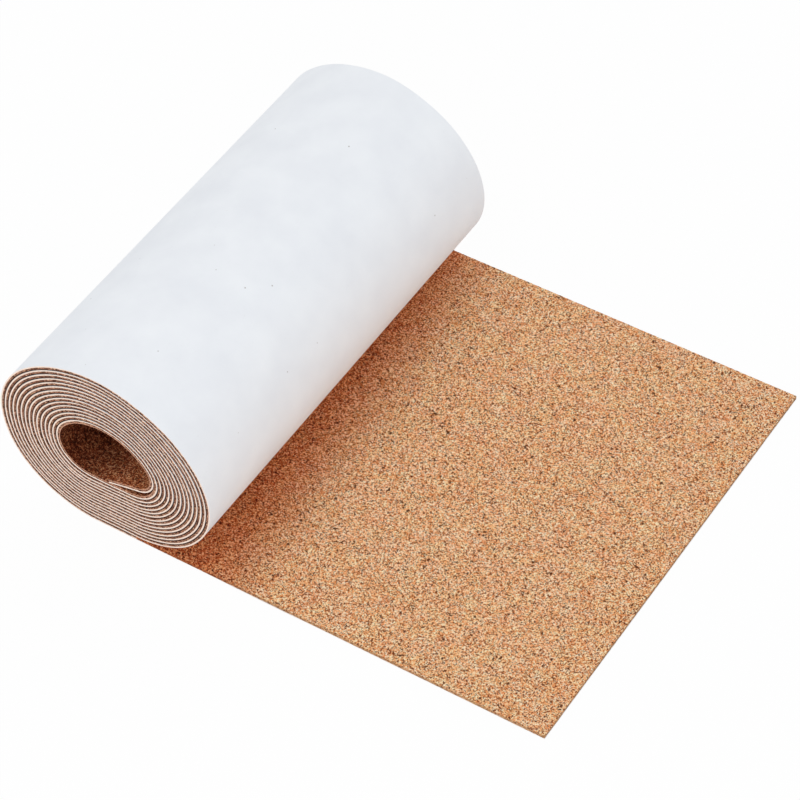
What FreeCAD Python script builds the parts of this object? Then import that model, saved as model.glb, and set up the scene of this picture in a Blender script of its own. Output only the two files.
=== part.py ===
import FreeCAD, Part
import math
import os
import Sketcher

# A roll of cork sheet with its backing paper, lying on the floor with the free stretch unrolled to +X.
# Millimetres. Z is up, Y runs along the roll, and the origin is on the floor under the middle of the roll.
doc = FreeCAD.newDocument("cork_roll")

# Driving dimensions
sheet = doc.addObject("Spreadsheet::Sheet", "Sizes")


def add_size(row, alias, value):
    sheet.set("A%d" % row, alias)
    sheet.set("B%d" % row, str(value))
    sheet.setAlias("B%d" % row, alias)


DRIVING_SIZES = [
    ("roll_width", 200),
    ("cork_thickness", 1.55),
    ("paper_thickness", 0.2),
    ("winding_slack", 0.15),
    ("turn_count", 15),
    ("right_radius", 39),
    ("crown_over_left", 10),
    ("right_join_angle", 27.5),
    ("left_join_angle", 41),
    ("lead_reach", 198),
    ("tail_leaves_at", 4),
    ("tail_slope", 12),
    ("tail_bend", 8),
    ("turn_line_depth", 0.6),
]
for number, (alias, value) in enumerate(DRIVING_SIZES, start=1):
    add_size(number, alias, value)
doc.recompute()

width = sheet.get("roll_width")
cork = sheet.get("cork_thickness")
paper = sheet.get("paper_thickness")
slack = sheet.get("winding_slack")
turns = int(sheet.get("turn_count"))
right_radius = sheet.get("right_radius")
crown_over_left = sheet.get("crown_over_left")
right_join = math.radians(sheet.get("right_join_angle"))
left_join = math.pi - math.radians(sheet.get("left_join_angle"))
lead_reach = sheet.get("lead_reach")
tail_leaves_at = math.radians(sheet.get("tail_leaves_at"))
tail_slope = math.radians(sheet.get("tail_slope"))
tail_bend = sheet.get("tail_bend")

# The sagged roll: each turn is a right, a crown and a left arc about three fixed centres, closed by a flat
# run along the bottom. The crown's extra radius on the right is what makes the next turn one pitch larger.
layers = cork + paper
pitch = layers + slack
crown_over_right = (pitch + crown_over_left * (1 + math.sin(left_join))) / (1 + math.sin(right_join))


def ray(angle):
    return FreeCAD.Vector(math.cos(angle), math.sin(angle), 0)


def point(x, z):
    return FreeCAD.Vector(x, z, 0)


left_over_right = crown_over_right - crown_over_left
right_to_left = crown_over_right * math.cos(right_join) - crown_over_left * math.cos(left_join)
right_x = (right_to_left + left_over_right) / 2
right_centre = point(right_x, pitch + right_radius)
crown_centre = right_centre - ray(right_join) * crown_over_right
left_centre = crown_centre + ray(left_join) * crown_over_left
DOWN = -math.pi / 2


# Outline drawing
class Outline:
    """Adds joined lines and arcs to a sketch, one after another."""

    def __init__(self, sketch):
        self.sketch = sketch

    def line(self, start, end):
        return self.sketch.addGeometry(Part.LineSegment(start, end), False)

    def arc(self, centre, radius, first, last):
        circle = Part.Circle(centre, FreeCAD.Vector(0, 0, 1), radius)
        return self.sketch.addGeometry(Part.ArcOfCircle(circle, first, last), False)


def round_turn(outline, inset):
    """One turn's right, crown and left arcs, the given distance inside the outermost paper face."""
    right = outline.arc(right_centre, right_radius - inset, DOWN, right_join)
    crown = outline.arc(crown_centre, right_radius + crown_over_right - inset, right_join, left_join)
    left = outline.arc(left_centre, right_radius + left_over_right - inset, left_join, 3 * math.pi / 2)
    return right, crown, left


def hold(sketch, kind, *where):
    return sketch.addConstraint(Sketcher.Constraint(kind, *where))


def bind(sketch, name, index, formula):
    sketch.renameConstraint(index, name)
    sketch.setExpression("Constraints." + name, formula)


def plane_of(body, role):
    return [plane for plane in body.Origin.OriginFeatures if plane.Role == role][0]


def new_sketch(body, name, forward=0):
    """A sketch on the body's upright XZ plane, moved forward to meet the near end of the roll."""
    sketch = body.newObject("Sketcher::SketchObject", name)
    sketch.AttachmentSupport = [(plane_of(body, "XZ_Plane"), "")]
    sketch.MapMode = "FlatFace"
    sketch.AttachmentOffset = FreeCAD.Placement(FreeCAD.Vector(0, 0, forward), FreeCAD.Rotation())
    return sketch


def pad_whole_width(body, sketch, name):
    pad = body.newObject("PartDesign::Pad", name)
    pad.Profile = sketch
    pad.Midplane = True
    pad.setExpression("Length", "Sizes.roll_width")
    doc.recompute()
    return pad


# Cork sheet: winding, bore, loose inner end and the flat stretch
cork_body = doc.addObject("PartDesign::Body", "cork_sheet")
cork_body.Label = "cork_sheet"
cork_outline = new_sketch(cork_body, "cork_outline")
outline = Outline(cork_outline)

outer_right, outer_crown, outer_left = round_turn(outline, paper)
left_foot = point(left_centre.x, paper)
right_foot = point(right_centre.x, pitch + paper)
lead_corner = point(right_centre.x, layers)
lead_top_end = point(lead_reach, layers)
lead_low_end = point(lead_reach, paper)
underside = outline.line(left_foot, lead_low_end)
lead_end = outline.line(lead_low_end, lead_top_end)
lead_top = outline.line(lead_top_end, lead_corner)
nip = outline.line(lead_corner, right_foot)

# A sketch numbers the start, end and centre of an edge 1 to 3, and its own origin is point 1 of edge -1.
START, END, CENTRE = range(1, 4)
ORIGIN = -START
hold(cork_outline, "Tangent", outer_right, END, outer_crown, START)
hold(cork_outline, "Tangent", outer_crown, END, outer_left, START)
hold(cork_outline, "Tangent", outer_left, END, underside, START)
hold(cork_outline, "Horizontal", underside)
hold(cork_outline, "Coincident", underside, END, lead_end, START)
hold(cork_outline, "Vertical", lead_end)
hold(cork_outline, "Coincident", lead_end, END, lead_top, START)
hold(cork_outline, "Horizontal", lead_top)
hold(cork_outline, "Coincident", lead_top, END, nip, START)
hold(cork_outline, "Vertical", nip)
hold(cork_outline, "Coincident", nip, END, outer_right, START)
hold(cork_outline, "Vertical", outer_right, START, outer_right, CENTRE)
bind(
    cork_outline, "lead_reach",
    hold(cork_outline, "DistanceX", ORIGIN, START, lead_end, START, lead_reach),
    "Sizes.lead_reach",
)
bind(
    cork_outline, "paper_under_cork",
    hold(cork_outline, "DistanceY", ORIGIN, START, lead_end, START, paper),
    "Sizes.paper_thickness",
)
bind(
    cork_outline, "cork_thickness",
    hold(cork_outline, "DistanceY", lead_end, START, lead_end, END, cork),
    "Sizes.cork_thickness",
)
bind(
    cork_outline, "right_radius",
    hold(cork_outline, "Radius", outer_right, right_radius - paper),
    "Sizes.right_radius - Sizes.paper_thickness",
)
bind(
    cork_outline, "nip_height",
    hold(cork_outline, "DistanceY", nip, START, nip, END, slack + paper),
    "Sizes.winding_slack + Sizes.paper_thickness",
)

# The bore is the inner face of the innermost turn. Its loose end bends away from the wall on the right and
# comes gently down to rest on the bottom of the bore, with a wedge of air under it.
innermost = (turns - 1) * pitch + layers
second = innermost - pitch
tail_inner_radius = right_radius - innermost
bend_centre = right_centre + ray(tail_leaves_at) * (tail_inner_radius - tail_bend)
tail_angle = DOWN + tail_slope
bore_floor = left_centre.y - (right_radius + left_over_right - innermost)
bend_underside = bend_centre + ray(tail_angle) * (tail_bend + layers)
tail_clearance = 0.1
tail_length = (bend_underside.y - bore_floor - tail_clearance) / math.sin(tail_slope)
along_tail = ray(math.pi + tail_slope)
tail_low_end = bend_underside + along_tail * tail_length
tail_top_start = bend_centre + ray(tail_angle) * tail_bend
tail_top_end = tail_top_start + along_tail * tail_length
nip_outer = right_centre + ray(tail_leaves_at) * (right_radius - second)
nip_inner = right_centre + ray(tail_leaves_at) * (tail_inner_radius + layers)

outline.arc(right_centre, tail_inner_radius, tail_leaves_at, right_join)
outline.arc(crown_centre, tail_inner_radius + crown_over_right, right_join, left_join)
outline.arc(left_centre, tail_inner_radius + left_over_right, left_join, 3 * math.pi / 2)
outline.line(point(left_centre.x, bore_floor), point(right_centre.x, bore_floor))
outline.arc(right_centre, right_radius - second, DOWN, tail_leaves_at)
outline.line(nip_outer, nip_inner)
outline.arc(bend_centre, tail_bend + layers, tail_angle, tail_leaves_at)
outline.line(bend_underside, tail_low_end)
outline.line(tail_low_end, tail_top_end)
outline.line(tail_top_end, tail_top_start)
outline.arc(bend_centre, tail_bend, tail_angle, tail_leaves_at)
cork_pad = pad_whole_width(cork_body, cork_outline, "wound_sheet")
solid_volume = cork_pad.Shape.Volume

# Turn lines: one V-shaped spiral groove in each end, along the paper's edge and the slack between the turns.
# Its path starts where the unrolled stretch leaves the roll and ends where the loose inner end leaves the wall.
groove_path = new_sketch(cork_body, "turn_line_path", width / 2)
groove_path.setExpression("AttachmentOffset.Base.z", "Sizes.roll_width / 2")
path = Outline(groove_path)
for turn in range(1, turns):
    inset = turn * pitch
    left_radius = right_radius + left_over_right - inset
    floor_height = left_centre.y - left_radius
    right_start = tail_leaves_at if turn == turns - 1 else DOWN
    path.line(point(right_centre.x, floor_height), point(left_centre.x, floor_height))
    path.arc(left_centre, left_radius, left_join, 3 * math.pi / 2)
    path.arc(crown_centre, right_radius + crown_over_right - inset, right_join, left_join)
    path.arc(right_centre, right_radius - inset, right_start, right_join)

groove_section = cork_body.newObject("Sketcher::SketchObject", "turn_line_section")
groove_section.AttachmentSupport = [(plane_of(cork_body, "YZ_Plane"), "")]
groove_section.MapMode = "FlatFace"
groove_section.AttachmentOffset = FreeCAD.Placement(FreeCAD.Vector(0, 0, right_centre.x), FreeCAD.Rotation())
section = Outline(groove_section)
line_depth = sheet.get("turn_line_depth")
low_corner = point(-width / 2, layers)
high_corner = point(-width / 2, pitch + paper)
groove_bottom = point(-width / 2 + line_depth, (low_corner.y + high_corner.y) / 2)
mouth = section.line(low_corner, high_corner)
high_wall = section.line(high_corner, groove_bottom)
low_wall = section.line(groove_bottom, low_corner)
hold(groove_section, "Vertical", mouth)
hold(groove_section, "Equal", low_wall, high_wall)
hold(groove_section, "Coincident", mouth, END, high_wall, START)
hold(groove_section, "Coincident", high_wall, END, low_wall, START)
hold(groove_section, "Coincident", low_wall, END, mouth, START)
bind(
    groove_section, "half_width",
    hold(groove_section, "DistanceX", mouth, START, ORIGIN, START, width / 2),
    "Sizes.roll_width / 2",
)
bind(
    groove_section, "height_of_lead",
    hold(groove_section, "DistanceY", ORIGIN, START, mouth, START, layers),
    "Sizes.cork_thickness + Sizes.paper_thickness",
)
bind(
    groove_section, "mouth_height",
    hold(groove_section, "DistanceY", mouth, START, mouth, END, slack + paper),
    "Sizes.winding_slack + Sizes.paper_thickness",
)
bind(
    groove_section, "turn_line_depth",
    hold(groove_section, "DistanceX", mouth, START, low_wall, START, line_depth),
    "Sizes.turn_line_depth",
)
near_lines = cork_body.newObject("PartDesign::SubtractivePipe", "near_turn_lines")
near_lines.Profile = groove_section
near_lines.Spine = groove_path
near_lines.Mode = "Frenet"
doc.recompute()
far_lines = cork_body.newObject("PartDesign::Mirrored", "far_turn_lines")
far_lines.Originals = [near_lines]
far_lines.MirrorPlane = (plane_of(cork_body, "XZ_Plane"), [""])
cork_body.Tip = far_lines
doc.recompute()

# Release paper: the skin of the outermost turn and of the underside of the flat stretch
paper_body = doc.addObject("PartDesign::Body", "release_paper")
paper_body.Label = "release_paper"
paper_outline = new_sketch(paper_body, "paper_outline")
skin = Outline(paper_outline)
face_right, face_crown, face_left = round_turn(skin, 0)
face_low = skin.line(point(left_centre.x, 0), point(lead_reach, 0))
paper_end = skin.line(point(lead_reach, 0), lead_low_end)
back_low = skin.line(lead_low_end, left_foot)
back_right, back_crown, back_left = round_turn(skin, paper)
edge = skin.line(right_foot, point(right_centre.x, pitch))
for first, first_end, second_arc, second_end in (
    (face_right, END, face_crown, START),
    (face_crown, END, face_left, START),
    (face_left, END, face_low, START),
    (back_right, END, back_crown, START),
    (back_crown, END, back_left, START),
    (back_left, END, back_low, END),
):
    hold(paper_outline, "Tangent", first, first_end, second_arc, second_end)
hold(paper_outline, "Coincident", face_low, END, paper_end, START)
hold(paper_outline, "Coincident", paper_end, END, back_low, START)
hold(paper_outline, "Coincident", edge, START, back_right, START)
hold(paper_outline, "Coincident", edge, END, face_right, START)
hold(paper_outline, "Vertical", edge)
hold(paper_outline, "Vertical", paper_end)
bind(
    paper_outline, "lead_reach",
    hold(paper_outline, "DistanceX", ORIGIN, START, paper_end, START, lead_reach),
    "Sizes.lead_reach",
)
bind(
    paper_outline, "paper_thickness",
    hold(paper_outline, "DistanceY", paper_end, START, paper_end, END, paper),
    "Sizes.paper_thickness",
)
bind(
    paper_outline, "right_radius",
    hold(paper_outline, "Radius", face_right, right_radius),
    "Sizes.right_radius",
)
pad_whole_width(paper_body, paper_outline, "paper_skin")

# Checks and files
for item in doc.Objects:
    for flag in ("Invalid", "Error"):
        if flag in item.State:
            raise RuntimeError("%s is %s" % (item.Name, flag))
if not cork_body.Shape.Volume < solid_volume:
    raise RuntimeError("the turn lines cut nothing")
os.makedirs("parts", exist_ok=True)
for body in (cork_body, paper_body):
    shape = body.Shape
    if shape.isNull() or not shape.isValid() or len(shape.Solids) != 1:
        raise RuntimeError("%s is not one valid solid" % body.Label)
    shape.exportStep("parts/%s.step" % body.Label)
    box = shape.BoundBox
    print(body.Label, round(shape.Volume), "mm3", round(box.XMin, 2), round(box.XMax, 2), round(box.ZMax, 2))
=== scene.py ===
# %% [markdown]
# Cork roll
#
# The real object is one long strip of agglomerated cork, 1.5 mm thick, with glue and white release paper on
# one side. It is wound fifteen times round nothing, has sagged a little under its own weight, and its last
# stretch lies unrolled on the floor with the cork side up.
#
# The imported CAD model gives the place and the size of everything. This lesson dresses it: the strip is
# wound for real, turn by turn, so that its cut edges show on the ends of the roll, and each surface gets
# the finish that it has on the real sheet.

# %% Load the frame
import math

import bpy
from mathutils import Matrix, Vector


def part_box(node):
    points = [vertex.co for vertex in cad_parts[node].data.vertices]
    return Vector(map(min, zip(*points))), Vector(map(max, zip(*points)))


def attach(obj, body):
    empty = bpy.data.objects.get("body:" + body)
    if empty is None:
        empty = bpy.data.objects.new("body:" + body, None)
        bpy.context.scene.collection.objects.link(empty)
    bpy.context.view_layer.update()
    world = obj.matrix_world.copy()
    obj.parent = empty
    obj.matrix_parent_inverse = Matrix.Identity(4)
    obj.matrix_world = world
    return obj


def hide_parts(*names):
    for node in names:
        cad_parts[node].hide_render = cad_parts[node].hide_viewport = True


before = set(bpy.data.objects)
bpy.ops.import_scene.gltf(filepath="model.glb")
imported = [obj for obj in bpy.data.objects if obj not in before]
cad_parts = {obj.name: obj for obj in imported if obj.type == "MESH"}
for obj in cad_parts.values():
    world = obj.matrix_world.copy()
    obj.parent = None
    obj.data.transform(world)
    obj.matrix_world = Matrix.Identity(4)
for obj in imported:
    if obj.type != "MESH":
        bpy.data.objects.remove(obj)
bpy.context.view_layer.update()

MM = 0.001

# %% [markdown]
# The spiral rule
#
# A roll that sags is no longer round. Here every turn is a right, a crown and a left arc about three fixed
# centres, closed by a flat run along the bottom. The three centres never move, so each turn is the last one
# with every radius one pitch larger, which is what a wound sheet does. The numbers are the sizes of the CAD
# part, and the frame's boxes say where the sheet ends.

# %% Sizes of the sheet and of the winding
sheet_low, sheet_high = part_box("cork_sheet")
paper_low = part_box("release_paper")[0]
roll_width = sheet_high[1] - sheet_low[1]
lead_end = sheet_high[0]

turns = 15
cork_thickness = 1.55 * MM
paper_thickness = 0.2 * MM
slack = 0.15 * MM
right_radius = 39 * MM
crown_over_left = 10 * MM
right_join = math.radians(27.5)
left_join = math.pi - math.radians(41)

layers = cork_thickness + paper_thickness
pitch = layers + slack
crown_over_right = (pitch + crown_over_left * (1 + math.sin(left_join))) / (1 + math.sin(right_join))
left_over_right = crown_over_right - crown_over_left

# %% Centres of the three arcs
def ray(angle):
    return Vector((math.cos(angle), math.sin(angle)))


arc_span = crown_over_right * math.cos(right_join) - crown_over_left * math.cos(left_join)
right_centre = Vector(((arc_span + left_over_right) / 2, pitch + right_radius))
crown_centre = right_centre - ray(right_join) * crown_over_right
left_centre = crown_centre + ray(left_join) * crown_over_left
roll_left = left_centre.x - right_radius - left_over_right
print("roll from x", round(roll_left, 4), "frame says", round(paper_low[0], 4))

# %% [markdown]
# The route of the sheet
#
# One line in the XZ plane, along the outside of the paper, carries the whole sheet. It starts at the loose
# end inside the bore, which comes away from the wall on the right and rests on the bottom, then winds
# outwards and leaves along the floor. Arcs are stepped finely here, and the node tree steps them again at
# its own length.

# %% The route
tail_leaves_at = math.radians(4)
tail_slope = math.radians(12)
tail_bend = 8 * MM
tail_gap = 0.1 * MM
route_step = 0.5 * MM
DOWN = -math.pi / 2


def arc_points(centre, radius, first, last):
    count = max(2, math.ceil(abs(last - first) * radius / route_step))
    return [centre + ray(first + (last - first) * i / count) * radius for i in range(count)]


def wound_route(end_x):
    """Points of the outer paper face, from the loose inner end to end_x on the floor."""
    innermost = right_radius - (turns - 1) * pitch
    bend_centre = right_centre + ray(tail_leaves_at) * (innermost - layers - tail_bend)
    bend_radius = tail_bend + layers
    bend_start = DOWN + tail_slope
    foot = bend_centre + ray(bend_start) * bend_radius
    bore_floor = left_centre.y - (innermost + left_over_right - layers)
    tail_length = (foot.y - bore_floor - tail_gap) / math.sin(tail_slope)
    points = [foot - ray(tail_slope) * tail_length]
    points += arc_points(bend_centre, bend_radius, bend_start, tail_leaves_at)
    first_angle = tail_leaves_at
    for turn in range(turns - 1, -1, -1):
        radius = right_radius - turn * pitch
        points += arc_points(right_centre, radius, first_angle, right_join)
        points += arc_points(crown_centre, radius + crown_over_right, right_join, left_join)
        points += arc_points(left_centre, radius + left_over_right, left_join, 3 * math.pi / 2)
        points.append(Vector((left_centre.x, left_centre.y - radius - left_over_right)))
        first_angle = DOWN
    points.append(Vector((end_x, 0)))
    return points


route = wound_route(lead_end)
route_length = sum((b - a).length for a, b in zip(route, route[1:]))
print("the sheet is", round(route_length, 3), "m long")

# %% The route as an object
def in_scene(name, data):
    """A new object with this data, put in the scene."""
    item = bpy.data.objects.new(name, data)
    bpy.context.scene.collection.objects.link(item)
    return item


def route_object(name, points):
    """A wire mesh along the points, which a node tree turns into a sheet."""
    mesh = bpy.data.meshes.new(name)
    vertices = [(point.x, 0, point.y) for point in points]
    mesh.from_pydata(vertices, [(i, i + 1) for i in range(len(vertices) - 1)], [])
    return in_scene(name, mesh)

# %% [markdown]
# Short ways to write node trees
#
# A node tree can be drawn by hand in the editor, or written. A written one can be read and used again with
# other sizes, but each node takes several lines, so a few helpers come first. They serve the materials and
# the shapes alike, because both kinds of tree know the same nodes for sums, noise and cells.

# %% Nodes for both kinds of tree
def add(tree, kind, inputs=None, **settings):
    """Adds a node, sets its settings, and gives each input a value or another node's output."""
    node = tree.nodes.new(kind)
    for key, value in settings.items():
        setattr(node, key, value)
    for key, value in (inputs or {}).items():
        if isinstance(value, bpy.types.NodeSocket):
            tree.links.new(value, node.inputs[key])
        else:
            node.inputs[key].default_value = value
    return node


def maths(tree, operation, first, second=0.0, third=0.0):
    return add(tree, "ShaderNodeMath", {0: first, 1: second, 2: third}, operation=operation).outputs[0]


def times(tree, first, second):
    return maths(tree, "MULTIPLY", first, second)


def vector_maths(tree, operation, first, second):
    return add(tree, "ShaderNodeVectorMath", {0: first, 1: second}, operation=operation).outputs[0]


def scaled(tree, vector, factor):
    return add(tree, "ShaderNodeVectorMath", {0: vector, 3: factor}, operation="SCALE").outputs[0]


def parts(tree, vector):
    """The X, Y and Z of a vector."""
    return add(tree, "ShaderNodeSeparateXYZ", {0: vector}).outputs


def combine(tree, **values):
    """A vector of the given X, Y and Z, with 0 for one that is left out."""
    return add(tree, "ShaderNodeCombineXYZ", values).outputs[0]

# %% Patterns for both kinds of tree
CENTRE_OF_NOISE = (0.5, 0.5, 0.5)


def fade(tree, value, low, high, start=0.0, end=1.0):
    """Goes smoothly from start to end as the value goes from low to high."""
    limits = {"Value": value, 1: low, 2: high, 3: start, 4: end}
    return add(tree, "ShaderNodeMapRange", limits, interpolation_type="SMOOTHSTEP").outputs["Result"]


def noise(tree, place, scale, detail=2.0, roughness=0.5, distortion=0.0, output="Fac"):
    inputs = {
        "Vector": place,
        "Scale": scale,
        "Detail": detail,
        "Roughness": roughness,
        "Distortion": distortion,
    }
    return add(tree, "ShaderNodeTexNoise", inputs).outputs[output]


def cells(tree, place, scale, **settings):
    """A cell texture: each cell has a chance colour, and each point its distance to a middle or an edge."""
    return add(tree, "ShaderNodeTexVoronoi", {"Vector": place, "Scale": scale}, **settings).outputs

# %% From a node tree to a piece
def geometry_tree(name, sockets):
    """A node tree with one geometry input, the named inputs and one geometry output."""
    tree = bpy.data.node_groups.new(name, "GeometryNodeTree")
    tree.interface.new_socket("Geometry", in_out="INPUT", socket_type="NodeSocketGeometry")
    for label, kind in sockets:
        tree.interface.new_socket(label, in_out="INPUT", socket_type="NodeSocket" + kind)
    tree.interface.new_socket("Geometry", in_out="OUTPUT", socket_type="NodeSocketGeometry")
    return tree, add(tree, "NodeGroupInput").outputs


def finish_tree(tree, given, geometry, is_edge):
    """Ends a tree: the result is made real, and its faces and cut edges get their finishes."""
    real = add(tree, "GeometryNodeRealizeInstances", {0: geometry}).outputs[0]
    faced = add(tree, "GeometryNodeSetMaterial", {0: real, "Material": given["Face"]}).outputs[0]
    edged = add(
        tree, "GeometryNodeSetMaterial", {0: faced, "Selection": is_edge, "Material": given["Edge"]}
    ).outputs[0]
    add(tree, "NodeGroupOutput", {0: edged})
    print(tree.name, "has", len(tree.nodes), "nodes")


def grow(source, tree, values):
    """Runs the tree on the source object and returns the plain mesh that it makes."""
    modifier = source.modifiers.new(tree.name, "NODES")
    modifier.node_group = tree
    for item in tree.interface.items_tree:
        if item.in_out == "INPUT" and item.name in values:
            modifier[item.identifier] = values[item.name]
    depsgraph = bpy.context.evaluated_depsgraph_get()
    grown = source.evaluated_get(depsgraph)
    mesh = bpy.data.meshes.new_from_object(grown, preserve_all_data_layers=True, depsgraph=depsgraph)
    bpy.data.objects.remove(source)
    return mesh


def finished_piece(name, mesh, node):
    """Puts a finished mesh in the scene in place of its CAD node."""
    mesh.name = name
    piece = in_scene(name, mesh)
    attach(piece, "root")
    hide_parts(node)
    triangles = sum(len(face.vertices) - 2 for face in mesh.polygons)
    print(name, "has", triangles, "triangles")

# %% [markdown]
# Cork, the granules
#
# Agglomerated cork is ground bark pressed with a binder, so it is the same all the way through: the top
# shows granules lying flat, and a cut edge shows the same granules sliced. A pattern in three dimensions on
# Object coordinates gives both for nothing, where an unwrapped picture would show seams.
#
# The cells of a cell texture are the granules, each with its own tan, and smaller cells over them are the
# crumbs between. A little noise bends their straight sides. The binder shows as faint joints and as dark
# broken strokes, which are the contour lines of a noise, and pits of outer bark are darker still. The same
# values drive the bump, so that colour and relief agree.

# %% Colours and surfaces
def colour(red, green, blue):
    """A colour in screen values, 0 to 255, as the linear colour that a shader wants."""
    def linear(value):
        value /= 255
        return value / 12.92 if value <= 0.04045 else ((value + 0.055) / 1.055) ** 2.4
    return (linear(red), linear(green), linear(blue), 1)


def new_material(name, roughness, shine=0.25):
    material = bpy.data.materials.new(name)
    material.use_nodes = True
    tree = material.node_tree
    surface = tree.nodes["Principled BSDF"]
    surface.inputs["Roughness"].default_value = roughness
    surface.inputs["Specular IOR Level"].default_value = shine
    return material, tree, surface


def ramp(tree, factor, stops):
    """A colour ramp through the given (position, colour) stops."""
    node = add(tree, "ShaderNodeValToRGB", {"Fac": factor})
    elements = node.color_ramp.elements
    while len(elements) < len(stops):
        elements.new(0.5)
    for element, (position, shade) in zip(elements, stops):
        element.position = position
        element.color = shade
    return node.outputs["Color"]


def blend(tree, factor, first, second, how="MIX"):
    """Goes from the first colour to the second with the factor, or multiplies the second in."""
    return add(
        tree,
        "ShaderNodeMix",
        {0: factor, 6: first, 7: second},
        data_type="RGBA",
        blend_type=how,
        clamp_factor=True,
    ).outputs[2]


def channel(tree, shade, which):
    """One channel of a cell's colour, which is a chance number of its own for each cell."""
    return add(tree, "ShaderNodeSeparateColor", {"Color": shade}).outputs[which]


def bump(tree, surface, height, distance, strength):
    """Lets the light fall as if the surface had this height."""
    node = add(tree, "ShaderNodeBump", {"Height": height, "Distance": distance, "Strength": strength})
    tree.links.new(node.outputs["Normal"], surface.inputs["Normal"])

# %% Granules
bend_scale = 2200.0
bend_reach = 0.55 * MM
grain_scale = 1700.0
crumb_scale = 3000.0
grain_share = 0.55
crumb_share = 0.45
joint_darkness = 0.22
stroke_scale = 1350.0
break_scale = 1300.0
pit_scale = 900.0


def granules(tree, place):
    """A tone from 0 to 1 for each grain, how dark the binder is, and where the pits are."""
    wobble = noise(tree, place, bend_scale, 1.0, output="Color")
    shift = scaled(tree, vector_maths(tree, "SUBTRACT", wobble, CENTRE_OF_NOISE), bend_reach)
    bent = vector_maths(tree, "ADD", place, shift)
    grain = channel(tree, cells(tree, bent, grain_scale)["Color"], 0)
    crumb = channel(tree, cells(tree, bent, crumb_scale)["Color"], 1)
    tone = maths(tree, "MULTIPLY_ADD", grain, grain_share, times(tree, crumb, crumb_share))

    to_edge = cells(tree, bent, grain_scale, feature="DISTANCE_TO_EDGE")["Distance"]
    joints = times(tree, fade(tree, to_edge, 0.0, 0.1, 1.0, 0.0), joint_darkness)
    level = maths(tree, "SUBTRACT", noise(tree, place, stroke_scale, 1.0, 0.5, 0.9), 0.5)
    contour = fade(tree, maths(tree, "ABSOLUTE", level), 0.03, 0.1, 1.0, 0.0)
    broken = fade(tree, noise(tree, place, break_scale, 1.0), 0.48, 0.54)
    dark = maths(tree, "MAXIMUM", joints, times(tree, contour, broken))
    pits = fade(tree, noise(tree, place, pit_scale, 1.0, 0.6, 0.6), 0.63, 0.67)
    return tone, dark, pits

# %% [markdown]
# Cork, browner where little light comes in
#
# Light that reaches the cork beside the roll has mostly come off the roll, and light in the bore off its
# walls, so both are brown and weak. The lamps and the bounces of a plain scene leave them too bright, and
# stronger shadows would darken everything else. So the finish itself darkens the cork by its place: near
# the roll, a little more so at the near end, and on the left of the bore and under the loose end. The tint
# follows the tone of each granule, so that the pale ones still stand out.

# %% Brown by the roll, and in the bore
brown_from = 34 * MM
brown_until = 70 * MM
near_end_lean = 0.07
roll_tint = ((0.3, (0.5, 0.23, 0.15, 1)), (0.7, (0.94, 0.54, 0.38, 1)))

dark_left_of = -16 * MM
light_right_of = 6 * MM
under_tail = 126 * MM
tail_shadow_edge = 4 * MM
tail_shadow = 0.6
bore_tint = ((0.3, (0.3, 0.22, 0.2, 1)), (0.7, (0.46, 0.34, 0.3, 1)))


def sheet_value(tree, name):
    """A length that the node tree of the wound sheet has noted on the mesh."""
    return add(tree, "ShaderNodeAttribute", attribute_name=name).outputs["Fac"]


def by_the_roll(tree, place, tone, body):
    """Near the roll less light comes in and what does is brown, most of all at the near end."""
    here = parts(tree, place)
    leaning = maths(tree, "MULTIPLY_ADD", here["Y"], near_end_lean, here["X"])
    beside = fade(tree, leaning, brown_from, brown_until, 1.0, 0.0)
    return blend(tree, beside, body, ramp(tree, tone, roll_tint), "MULTIPLY")


def in_the_bore(tree, place, tone, body):
    """The left wall of the bore is darker than the right, and so is the part under the loose end."""
    left = fade(tree, parts(tree, place)["X"], dark_left_of, light_right_of, 1.0, 0.0)
    along = sheet_value(tree, "along")
    covered = fade(tree, along, under_tail - tail_shadow_edge, under_tail, 0.0, tail_shadow)
    shaded = maths(tree, "MAXIMUM", left, covered)
    return blend(tree, shaded, body, ramp(tree, tone, bore_tint), "MULTIPLY")

# %% [markdown]
# Cork, the cut edges
#
# On the ends of the roll each turn shows its cut edge. Next to the paper runs a pale line of glue with a
# ragged border. The other rim is pale on the innermost turn, which nothing touches, and on all the others
# is painted dark, as painted shade in the narrow gap against the next turn. The sheet winds round, so
# coordinates alone can't tell its two sides apart. The node tree therefore notes on the mesh how deep in
# the sheet a point is, and how far along the sheet from the loose end.

# %% What only a cut edge shows
ragged_scale = 800.0
ragged_reach = 0.16 * MM
# From this length along the sheet, past the innermost turn, the inner rim is painted dark as the shade
# between turns.
shade_between_turns_from = 160 * MM
shade_between_turns_blend = 10 * MM
rim_outer = cork_thickness - 0.4 * MM
rim_inner = cork_thickness - 0.15 * MM
pale_rim_share = 0.7
pale_rim = colour(232, 176, 146)
glue_line = 0.45 * MM
glue_blur = 0.08 * MM
glue_height = 0.4
glue_cream = colour(255, 230, 212)


def cut_edge(tree, place, body, height, binder):
    """Adds the inner rim, pale on the innermost turn and painted dark as shade between the others, and the
    line of glue to the colour and the height of the cork.
    """
    rough = noise(tree, place, ragged_scale, 1.0)
    ragged = maths(tree, "MULTIPLY_ADD", rough, ragged_reach, sheet_value(tree, "depth"))
    shade_between_turns = fade(tree, sheet_value(tree, "along"), shade_between_turns_from - shade_between_turns_blend, shade_between_turns_from)
    inner_rim = fade(tree, ragged, rim_outer, rim_inner)
    body = blend(tree, times(tree, inner_rim, pale_rim_share), body, pale_rim)
    # Painted shade: the inner rim goes to the dark binder on every turn that has another turn against it.
    body = blend(tree, times(tree, inner_rim, shade_between_turns), body, binder)
    line = fade(tree, ragged, glue_line, glue_line + glue_blur, 1.0, 0.0)
    body = blend(tree, line, body, glue_cream)
    return body, maths(tree, "MAXIMUM", height, times(tree, line, glue_height))

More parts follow.
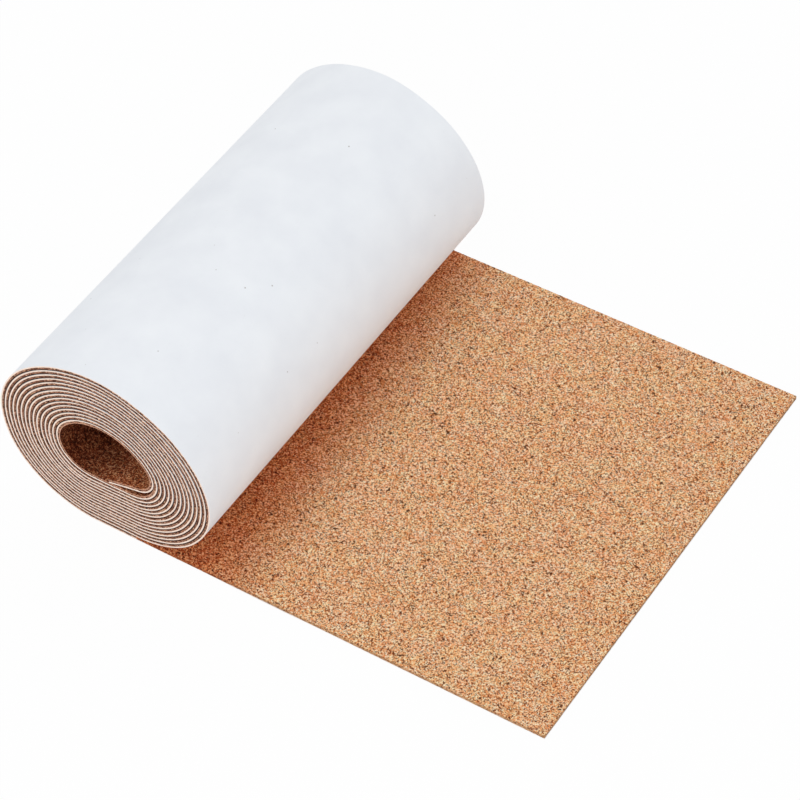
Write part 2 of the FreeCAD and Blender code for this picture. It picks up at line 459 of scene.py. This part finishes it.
# %% The cork material
ruddy_scale = 110.0
ruddy_share = 0.35
ruddy_tint = colour(252, 234, 234)
ochre_scale = 170.0
ochre_share = 0.3
ochre_tint = colour(255, 255, 224)
pit_darkness = 0.9
tone_height = 0.5


def cork_material(name, tans, binder, bark, depth=0.16 * MM, light=None, is_cut=False):
    """Granules in the given tans, with soft rosy and ochre patches, dark binder and pits of bark."""
    material, tree, surface = new_material(name, roughness=0.9, shine=0.1)
    place = add(tree, "ShaderNodeTexCoord").outputs["Object"]
    tone, dark, pits = granules(tree, place)
    body = ramp(tree, tone, tans)
    ruddy = fade(tree, noise(tree, place, ruddy_scale, 2.0), 0.4, 0.62)
    body = blend(tree, times(tree, ruddy, ruddy_share), body, ruddy_tint, "MULTIPLY")
    ochre = fade(tree, noise(tree, place, ochre_scale, 1.0), 0.42, 0.58)
    body = blend(tree, times(tree, ochre, ochre_share), body, ochre_tint, "MULTIPLY")
    body = blend(tree, dark, body, binder)
    body = blend(tree, times(tree, pits, pit_darkness), body, bark)
    if light:
        body = light(tree, place, tone, body)
    sunk = maths(tree, "MAXIMUM", dark, pits)
    height = maths(tree, "SUBTRACT", times(tree, tone, tone_height), sunk)
    if is_cut:
        body, height = cut_edge(tree, place, body, height, binder)
    tree.links.new(body, surface.inputs["Base Color"])
    bump(tree, surface, height, distance=depth, strength=0.6)
    return material

# %% [markdown]
# Cork, its four finishes
#
# The top of the unrolled stretch is pale. The same top inside the roll gets a darker, warmer copy of its
# tans, which is painted shade: all its light there is weak and comes off cork. The cut edges on the ends get
# greyer, darker tans, painted shade for the little light that falls on them. The cut rim of the unrolled
# stretch is lighter than those, because it lies open to the light.

# %% The four finishes of cork
face_tans = (
    (0.24, colour(226, 140, 84)),
    (0.42, colour(255, 188, 132)),
    (0.58, colour(255, 210, 160)),
    (0.76, colour(255, 238, 204)),
)
# Painted shade: a darker, warmer copy of the top's tans for the cork inside the roll, where all the light is
# weak and comes off cork.
shaded_bore_tans = (
    (0.2, colour(112, 48, 26)),
    (0.42, colour(178, 92, 54)),
    (0.62, colour(224, 138, 88)),
    (0.8, colour(255, 200, 152)),
)
# Painted shade: the cut edges on the ends get greyer, darker tans than the top, for the little light that
# falls on them.
shaded_edge_tans = (
    (0.1, colour(72, 34, 22)),
    (0.5, colour(166, 108, 82)),
    (0.9, colour(248, 202, 172)),
)
rim_tans = (
    (0.1, colour(166, 116, 78)),
    (0.5, colour(206, 156, 112)),
    (0.9, colour(234, 190, 146)),
)
cork_face = cork_material(
    "cork_face", face_tans, binder=colour(118, 44, 8), bark=colour(74, 26, 6), light=by_the_roll
)
# The winding's face, seen only inside the roll, uses the shaded copy of the tans with a darker binder:
# painted shade.
cork_bore = cork_material(
    "cork_inside_the_roll", shaded_bore_tans, binder=colour(96, 40, 20), bark=colour(64, 26, 12), light=in_the_bore
)
# The cut edges' tans, binder and bark are darker than the top's: painted shade, with the same granules
# sliced.
cork_cut = cork_material(
    "cork_cut_edge", shaded_edge_tans, binder=colour(36, 16, 10), bark=colour(30, 14, 8), depth=0.2 * MM, is_cut=True
)
cork_rim = cork_material(
    "cork_cut_rim", rim_tans, binder=colour(132, 88, 58), bark=colour(96, 58, 36), light=by_the_roll
)
print("cork finishes:", ", ".join(item.name for item in (cork_face, cork_bore, cork_cut, cork_rim)))

# %% [markdown]
# Release paper, the finish
#
# The paper is bleached and thinly siliconed: matt, a little cool, with slight waves, very faint dimples
# where granules press through, and a soft mottle from the pulp. A few specks of cork dust cling to it. They
# are the middles of one cell in four of a coarse cell texture, and show only where such a middle happens to
# lie in the surface, so they are rare and uneven. The paper's cut edge is warmer, because the edge of the
# glue shows with it.

# %% Face of the paper
pulp_scale = 60.0
mottle_scale = 900.0
mottle_share = 0.1
dust_scale = 150.0
dust_above = 0.75
dust_share = 0.6
dimple_scale = 240.0
dimple_height = 0.25
wave_scale = 26.0
wave_height = 0.3


def paper_material():
    material, tree, surface = new_material("release_paper_face", roughness=0.62)
    place = add(tree, "ShaderNodeTexCoord").outputs["Object"]
    pulp = noise(tree, place, pulp_scale, 4.0)
    cool = ramp(tree, pulp, ((0.3, colour(238, 240, 244)), (0.7, colour(244, 246, 249))))
    mottle = fade(tree, noise(tree, place, mottle_scale, 1.0), 0.72, 0.78)
    mottled = blend(tree, times(tree, mottle, mottle_share), cool, colour(214, 213, 212))
    dust = cells(tree, place, dust_scale)
    chosen = maths(tree, "GREATER_THAN", channel(tree, dust["Color"], 0), dust_above)
    speck = times(tree, fade(tree, dust["Distance"], 0.03, 0.07, 1.0, 0.0), chosen)
    dusty = blend(tree, times(tree, speck, dust_share), mottled, colour(150, 138, 130))
    tree.links.new(dusty, surface.inputs["Base Color"])
    dimples = noise(tree, place, dimple_scale, 3.0)
    waves = times(tree, noise(tree, place, wave_scale, 2.0), wave_height)
    height = maths(tree, "MULTIPLY_ADD", dimples, dimple_height, waves)
    bump(tree, surface, height, distance=0.25 * MM, strength=0.35)
    return material


paper_face = paper_material()

# %% Cut edge of the paper
def paper_edge_material():
    material, tree, surface = new_material("release_paper_edge", roughness=0.8)
    place = add(tree, "ShaderNodeTexCoord").outputs["Object"]
    fibre = noise(tree, place, 700.0, 2.0)
    cream = ramp(tree, fibre, ((0.3, colour(246, 222, 206)), (0.7, colour(255, 240, 228))))
    tree.links.new(cream, surface.inputs["Base Color"])
    bump(tree, surface, fibre, distance=0.08 * MM, strength=0.6)
    return material


paper_edge = paper_edge_material()
print("paper finishes:", paper_face.name, "and", paper_edge.name)

# %% [markdown]
# The wound sheet
#
# Cork and paper follow the same route, each at its own distance from it, so one tree makes both. The tree
# steps the route evenly, sweeps a flat rectangle along it, and then does what winding and slitting do to
# the real sheet: the turns wander sideways by a fraction of a millimetre, the whole roll is a little
# uneven, and the cut edge is rough. A sheet swept by hand in mesh code would look the same, but the tree
# keeps every size as a named input. The wander reads the length along the sheet, so cork and paper stay
# together. Depth in the sheet and length along it are noted on the mesh for the finish of the cut edges.

# %% Values that travel with the geometry
def capture(tree, geometry, label, value):
    """Measures a value now and takes it along with the geometry. Returns both."""
    node = add(tree, "GeometryNodeCaptureAttribute", {"Geometry": geometry})
    node.capture_items.new("FLOAT", label)
    tree.links.new(value, node.inputs[1])
    return node.outputs[0], node.outputs[1]


def store(tree, geometry, name, value):
    """Writes a value on each point of the mesh, under a name that a material can read."""
    return add(
        tree,
        "GeometryNodeStoreNamedAttribute",
        {"Geometry": geometry, "Name": name, "Value": value},
        data_type="FLOAT",
        domain="POINT",
    ).outputs[0]

# %% Node tree of the wound sheet
near_the_edge = 0.99
wander_scale = 14.0
uneven_scale = 32.0
grit_level = 0.62
steady_below = 3 * MM
uneven_above = 16 * MM
crease_angle = math.radians(50)


def wound_sheet_tree():
    tree, given = geometry_tree(
        "wound_sheet",
        (
            ("Step", "Float"),
            ("Width", "Float"),
            ("Outer Face", "Float"),
            ("Inner Face", "Float"),
            ("Cuts", "Int"),
            ("Wander", "Float"),
            ("Unevenness", "Float"),
            ("Grit", "Float"),
            ("Grit Size", "Float"),
            ("Face", "Material"),
            ("Edge", "Material"),
        ),
    )
    line = add(tree, "GeometryNodeMeshToCurve", {0: given["Geometry"]}).outputs[0]
    steps = add(
        tree, "GeometryNodeResampleCurve", {"Curve": line, "Length": given["Step"]}, mode="LENGTH"
    ).outputs[0]
    turned = add(
        tree, "GeometryNodeSetCurveNormal", {"Curve": steps, "Normal": (0, 1, 0)}, mode="FREE"
    ).outputs[0]
    length = add(tree, "GeometryNodeSplineParameter").outputs["Length"]
    rail, along = capture(tree, turned, "Along", length)

    # Position is the place of whatever asks for it: points of the section here, of the sheet below.
    position = add(tree, "GeometryNodeInputPosition").outputs[0]
    here = parts(tree, position)
    thickness = maths(tree, "SUBTRACT", given["Inner Face"], given["Outer Face"])
    middle = maths(tree, "MULTIPLY_ADD", thickness, 0.5, given["Outer Face"])
    section = add(
        tree,
        "GeometryNodeCurvePrimitiveQuadrilateral",
        {"Width": given["Width"], "Height": thickness},
        mode="RECTANGLE",
    ).outputs[0]
    moved = add(
        tree, "GeometryNodeTransform", {"Geometry": section, "Translation": combine(tree, Y=middle)}
    ).outputs[0]
    cut = add(tree, "GeometryNodeSubdivideCurve", {"Curve": moved, "Cuts": given["Cuts"]}).outputs[0]
    from_paper = maths(tree, "SUBTRACT", here["Y"], given["Outer Face"])
    profile, depth = capture(tree, cut, "Depth", from_paper)
    sheet = add(
        tree, "GeometryNodeCurveToMesh", {"Curve": rail, "Profile Curve": profile, "Fill Caps": True}
    ).outputs[0]

    # The cut edges wander with the turns and are rough.
    reach = times(tree, maths(tree, "ABSOLUTE", here["Y"]), 2.0)
    at_edge = maths(tree, "GREATER_THAN", reach, times(tree, given["Width"], near_the_edge))
    drift = add(
        tree,
        "ShaderNodeTexNoise",
        {"W": along, "Scale": wander_scale, "Detail": 2.0},
        noise_dimensions="1D",
    ).outputs["Fac"]
    swing = times(tree, maths(tree, "SUBTRACT", drift, 0.5), given["Wander"])
    grit = maths(tree, "SUBTRACT", noise(tree, position, given["Grit Size"], 1.0), grit_level)
    chips = times(tree, times(tree, grit, given["Grit"]), maths(tree, "SIGN", here["Y"]))
    sideways = times(tree, at_edge, maths(tree, "ADD", chips, swing))

    # The turns are uneven above, and lie flat on the floor.
    from_the_end = combine(tree, X=here["X"], Z=here["Z"])
    uneven = noise(tree, from_the_end, uneven_scale, 1.0, output="Color")
    centred = vector_maths(tree, "SUBTRACT", uneven, CENTRE_OF_NOISE)
    lifted = fade(tree, here["Z"], steady_below, uneven_above)
    push = scaled(tree, centred, times(tree, lifted, given["Unevenness"]))
    in_plane = vector_maths(tree, "MULTIPLY", push, (1, 0, 1))
    offset = vector_maths(tree, "ADD", in_plane, combine(tree, Y=sideways))
    shaped = add(tree, "GeometryNodeSetPosition", {"Geometry": sheet, "Offset": offset}).outputs[0]

    # The faces are smooth, and the corners of the section stay crisp.
    smooth = add(
        tree, "GeometryNodeSetShadeSmooth", {0: shaped, "Shade Smooth": True}, domain="FACE"
    ).outputs[0]
    fold = add(tree, "GeometryNodeInputMeshEdgeAngle").outputs["Unsigned Angle"]
    creased = maths(tree, "GREATER_THAN", fold, crease_angle)
    crisp = add(
        tree,
        "GeometryNodeSetShadeSmooth",
        {0: smooth, "Selection": creased, "Shade Smooth": False},
        domain="EDGE",
    ).outputs[0]

    noted = store(tree, store(tree, crisp, "depth", depth), "along", along)
    facing = parts(tree, add(tree, "GeometryNodeInputNormal").outputs[0])
    is_side = maths(tree, "GREATER_THAN", maths(tree, "ABSOLUTE", facing["Y"]), 0.5)
    is_tail_end = maths(tree, "LESS_THAN", along, times(tree, given["Step"], 0.25))
    finish_tree(tree, given, noted, maths(tree, "MAXIMUM", is_side, is_tail_end))
    return tree


wound_sheet = wound_sheet_tree()

# %% Wind the cork
strip_step = 0.8 * MM
wander = 0.6 * MM
unevenness = 1.2 * MM
cork_values = {
    "Step": strip_step,
    "Width": roll_width,
    "Outer Face": paper_thickness,
    "Inner Face": layers,
    "Cuts": 2,
    "Wander": wander,
    "Unevenness": unevenness,
    "Grit": 0.5 * MM,
    "Grit Size": 700.0,
    "Face": cork_bore,
    "Edge": cork_cut,
}
wound_end = right_centre.x
cork_mesh = grow(route_object("cork_route", wound_route(wound_end)), wound_sheet, cork_values)
finished_piece("cork_winding", cork_mesh, "cork_sheet")

# %% Wind the paper
paper_values = {
    **cork_values,
    "Outer Face": 0.0,
    "Inner Face": paper_thickness,
    "Cuts": 0,
    "Grit": 0.0,
    "Face": paper_face,
    "Edge": paper_edge,
}
paper_mesh = grow(route_object("paper_route", route), wound_sheet, paper_values)
finished_piece("paper_strip", paper_mesh, "release_paper")

# %% Volumes of the wound pieces
CUBIC_CM = 1e-6


def signed_volume(mesh):
    """Volume in cubic centimetres, which is positive where the faces point outwards."""
    total = 0.0
    for face in mesh.polygons:
        corners = [mesh.vertices[i].co for i in face.vertices]
        for second, third in zip(corners[1:], corners[2:]):
            total += corners[0].dot(second.cross(third)) / 6
    return round(total / CUBIC_CM, 1)


print("wound cork and whole paper in cm3:", signed_volume(cork_mesh), signed_volume(paper_mesh))

# %% [markdown]
# The unrolled stretch
#
# Here the cork's face is seen close and whole, so it gets its own fine mesh: a grid of squares smaller than
# a granule, each lifted or sunk a little by the same kind of cell pattern as the finish. Its rim is chipped
# by up to a third of a millimetre, as slit cork is, and goes down in two bands to the paper. The underside
# is one flat face, because only the paper sees it.

# %% Node tree of the unrolled stretch
rim_line = 0.4995
chip_level = 0.7
weld_distance = 0.01 * MM


def flat_sheet_tree():
    tree, given = geometry_tree(
        "flat_sheet",
        (
            ("Length", "Float"),
            ("Width", "Float"),
            ("Thickness", "Float"),
            ("Start", "Vector"),
            ("Square", "Float"),
            ("Relief", "Float"),
            ("Grain Size", "Float"),
            ("Chips", "Float"),
            ("Face", "Material"),
            ("Edge", "Material"),
        ),
    )
    across = maths(tree, "CEIL", maths(tree, "DIVIDE", given["Width"], given["Square"]))
    along = maths(tree, "CEIL", maths(tree, "DIVIDE", given["Length"], given["Square"]))
    grid = add(
        tree,
        "GeometryNodeMeshGrid",
        {"Size X": given["Length"], "Size Y": given["Width"], "Vertices X": along, "Vertices Y": across},
    ).outputs["Mesh"]
    placed = add(
        tree, "GeometryNodeTransform", {"Geometry": grid, "Translation": given["Start"]}
    ).outputs[0]

    # Granules sink by a chance depth each.
    position = add(tree, "GeometryNodeInputPosition").outputs[0]
    grain = cells(tree, position, given["Grain Size"])["Color"]
    level = add(tree, "FunctionNodeSeparateColor", {"Color": grain}).outputs[0]
    sink = times(tree, maths(tree, "SUBTRACT", level, 1.0), given["Relief"])
    relieved = add(
        tree, "GeometryNodeSetPosition", {"Geometry": placed, "Offset": combine(tree, Z=sink)}
    ).outputs[0]

    # Two bands go down from the open rim, which is where an edge has one face only.
    rim = maths(tree, "LESS_THAN", add(tree, "GeometryNodeInputMeshEdgeNeighbors").outputs[0], 1.5)
    half = times(tree, given["Thickness"], 0.5)
    straight_down = combine(tree, Z=-1.0)

    def band(mesh):
        """Pulls the open rim down by half the thickness."""
        return add(
            tree,
            "GeometryNodeExtrudeMesh",
            {"Mesh": mesh, "Selection": rim, "Offset": straight_down, "Offset Scale": half},
            mode="EDGES",
        ).outputs

    lower = band(band(relieved)["Mesh"])
    here = parts(tree, position)
    start = parts(tree, given["Start"])
    under = maths(tree, "SUBTRACT", start["Z"], given["Thickness"])
    levelled = add(
        tree,
        "GeometryNodeSetPosition",
        {
            "Geometry": lower["Mesh"],
            "Selection": lower["Top"],
            "Position": combine(tree, X=here["X"], Y=here["Y"], Z=under),
        },
    ).outputs[0]

    # A flat lid closes the underside. Filling the loop puts it at height 0 and face up.
    loop = add(tree, "GeometryNodeMeshToCurve", {0: levelled, "Selection": rim}).outputs[0]
    lid = add(tree, "GeometryNodeFillCurve", {"Curve": loop}, mode="NGONS").outputs[0]
    turned_lid = add(tree, "GeometryNodeFlipFaces", {0: lid}).outputs[0]
    raised = add(
        tree, "GeometryNodeTransform", {"Geometry": turned_lid, "Translation": combine(tree, Z=under)}
    ).outputs[0]
    both = add(tree, "GeometryNodeJoinGeometry")
    tree.links.new(levelled, both.inputs[0])
    tree.links.new(raised, both.inputs[0])
    closed = add(
        tree, "GeometryNodeMergeByDistance", {"Geometry": both.outputs[0], "Distance": weld_distance}
    ).outputs[0]

    # Chips are bitten out of the loose end and of both sides.
    out_x = maths(tree, "SUBTRACT", here["X"], start["X"])
    at_end = maths(tree, "GREATER_THAN", out_x, times(tree, given["Length"], rim_line))
    out_y = maths(tree, "ABSOLUTE", here["Y"])
    at_side = maths(tree, "GREATER_THAN", out_y, times(tree, given["Width"], rim_line))
    rough = maths(tree, "SUBTRACT", noise(tree, position, given["Grain Size"], 1.0), chip_level)
    bite = times(tree, rough, given["Chips"])
    side_bite = times(tree, times(tree, at_side, bite), maths(tree, "SIGN", here["Y"]))
    nudge = combine(tree, X=times(tree, at_end, bite), Y=side_bite)
    chipped = add(tree, "GeometryNodeSetPosition", {"Geometry": closed, "Offset": nudge}).outputs[0]

    facing = parts(tree, add(tree, "GeometryNodeInputNormal").outputs[0])
    is_rim = maths(tree, "LESS_THAN", maths(tree, "ABSOLUTE", facing["Z"]), 0.4)
    finish_tree(tree, given, chipped, is_rim)
    return tree


flat_sheet = flat_sheet_tree()

# %% Lay the unrolled stretch
lead_length = lead_end - wound_end
lead_values = {
    "Length": lead_length,
    "Width": roll_width,
    "Thickness": cork_thickness,
    "Start": ((wound_end + lead_end) / 2, 0.0, layers),
    "Square": 0.8 * MM,
    "Relief": 0.09 * MM,
    "Grain Size": 640.0,
    "Chips": 0.5 * MM,
    "Face": cork_face,
    "Edge": cork_rim,
}
lead_source = in_scene("lead_source", bpy.data.meshes.new("lead_source"))
lead_mesh = grow(lead_source, flat_sheet, lead_values)
finished_piece("cork_lead", lead_mesh, "cork_sheet")
plain_volume = lead_length * roll_width * cork_thickness / CUBIC_CM
print("volume in cm3:", signed_volume(lead_mesh), "should be near", round(plain_volume, 1))

# %% [markdown]
# Floor, background and light
#
# The photograph is a studio shot on white: even light from all round, a large soft lamp above, and a ground
# so bright that nothing of it shows. The lamps here stay at a plain level, so that a colour renders about
# as it is written. The ground reaches white through a glow that only the camera, reflections and glass see,
# and the rest of it is a plain floor that still takes the roll's shadow.

# %% Floor
ground_glow = 0.965


def seen_directly(tree):
    """1 for what the camera, a reflection or glass looks at, and 0 for light on its way to a surface."""
    rays = add(tree, "ShaderNodeLightPath").outputs
    through = maths(tree, "MAXIMUM", rays["Is Glossy Ray"], rays["Is Transmission Ray"])
    return maths(tree, "MAXIMUM", rays["Is Camera Ray"], through)


def white_ground_material():
    material, tree, surface = new_material("white_ground", roughness=0.9)
    surface.inputs["Base Color"].default_value = colour(238, 238, 238)
    glow = add(tree, "ShaderNodeEmission", {"Color": (1, 1, 1, 1), "Strength": 1.0}).outputs[0]
    share = times(tree, seen_directly(tree), ground_glow)
    mixed = add(tree, "ShaderNodeMixShader", {0: share, 1: surface.outputs[0], 2: glow}).outputs[0]
    tree.links.new(mixed, tree.nodes["Material Output"].inputs["Surface"])
    return material


def ground(size, height):
    mesh = bpy.data.meshes.new("floor")
    corners = [(-size, -size, height), (size, -size, height), (size, size, height), (-size, size, height)]
    mesh.from_pydata(corners, [], [(0, 1, 2, 3)])
    floor = in_scene("floor", mesh)
    floor.data.materials.append(white_ground_material())


ground(size=4.0, height=-0.1 * MM)

# %% World
ambient = 0.84

world = bpy.data.worlds.new("studio")
bpy.context.scene.world = world
world.use_nodes = True
sky = world.node_tree
brightness = maths(sky, "MULTIPLY_ADD", seen_directly(sky), 1.0 - ambient, ambient)
sky.links.new(brightness, sky.nodes["Background"].inputs["Strength"])
sky.nodes["Background"].inputs["Color"].default_value = (0.97, 0.985, 1.0, 1)
print("light from all round:", ambient, "and the background itself: 1.0")

# %% Lamps
def lamp(name, place, target, size, power):
    """A square soft lamp that faces its target."""
    data = bpy.data.lights.new(name, "AREA")
    data.shape = "SQUARE"
    data.size = size
    data.energy = power
    item = in_scene(name, data)
    item.location = place
    item.rotation_euler = (Vector(target) - Vector(place)).to_track_quat("-Z", "Y").to_euler()
    print(name, "is", size, "m wide, at", power, "W")


roll_middle = (0.06, 0.0, 0.03)
lamp("overhead_softbox", (-0.42, -0.3, 1.4), roll_middle, size=0.55, power=1.6)
lamp("near_side_fill", (0.55, -1.2, 0.45), roll_middle, size=0.8, power=2.9)

# %% [markdown]
# Camera
#
# The camera's place was worked out from the photograph: the roll's two ends, its long sides and the corners
# of the sheet fix where it stood, how it was turned and how long its lens was.

# %% Camera
camera_place = Vector((0.5568, -0.7052, 0.9569))
turn_about_z = math.radians(34.56)
look_down = math.radians(47.52)
tilt = math.radians(-2.68)
focal_length = 142.7

forward = Vector((
    -math.sin(turn_about_z) * math.cos(look_down),
    math.cos(turn_about_z) * math.cos(look_down),
    -math.sin(look_down),
))
level_right = forward.cross(Vector((0, 0, 1))).normalized()
level_up = level_right.cross(forward)
right = level_right * math.cos(tilt) + level_up * math.sin(tilt)
up = right.cross(forward)
camera_data = bpy.data.cameras.new("camera")
camera_data.lens = focal_length
camera_data.sensor_width = 36.0
camera = in_scene("camera", camera_data)
turned = Matrix((right, up, -forward)).transposed().to_4x4()
camera.matrix_world = Matrix.Translation(camera_place) @ turned
bpy.context.scene.camera = camera
bpy.context.scene.view_settings.view_transform = "Standard"
print("the camera is", round(camera_place.length, 3), "m from the middle of the roll's foot")
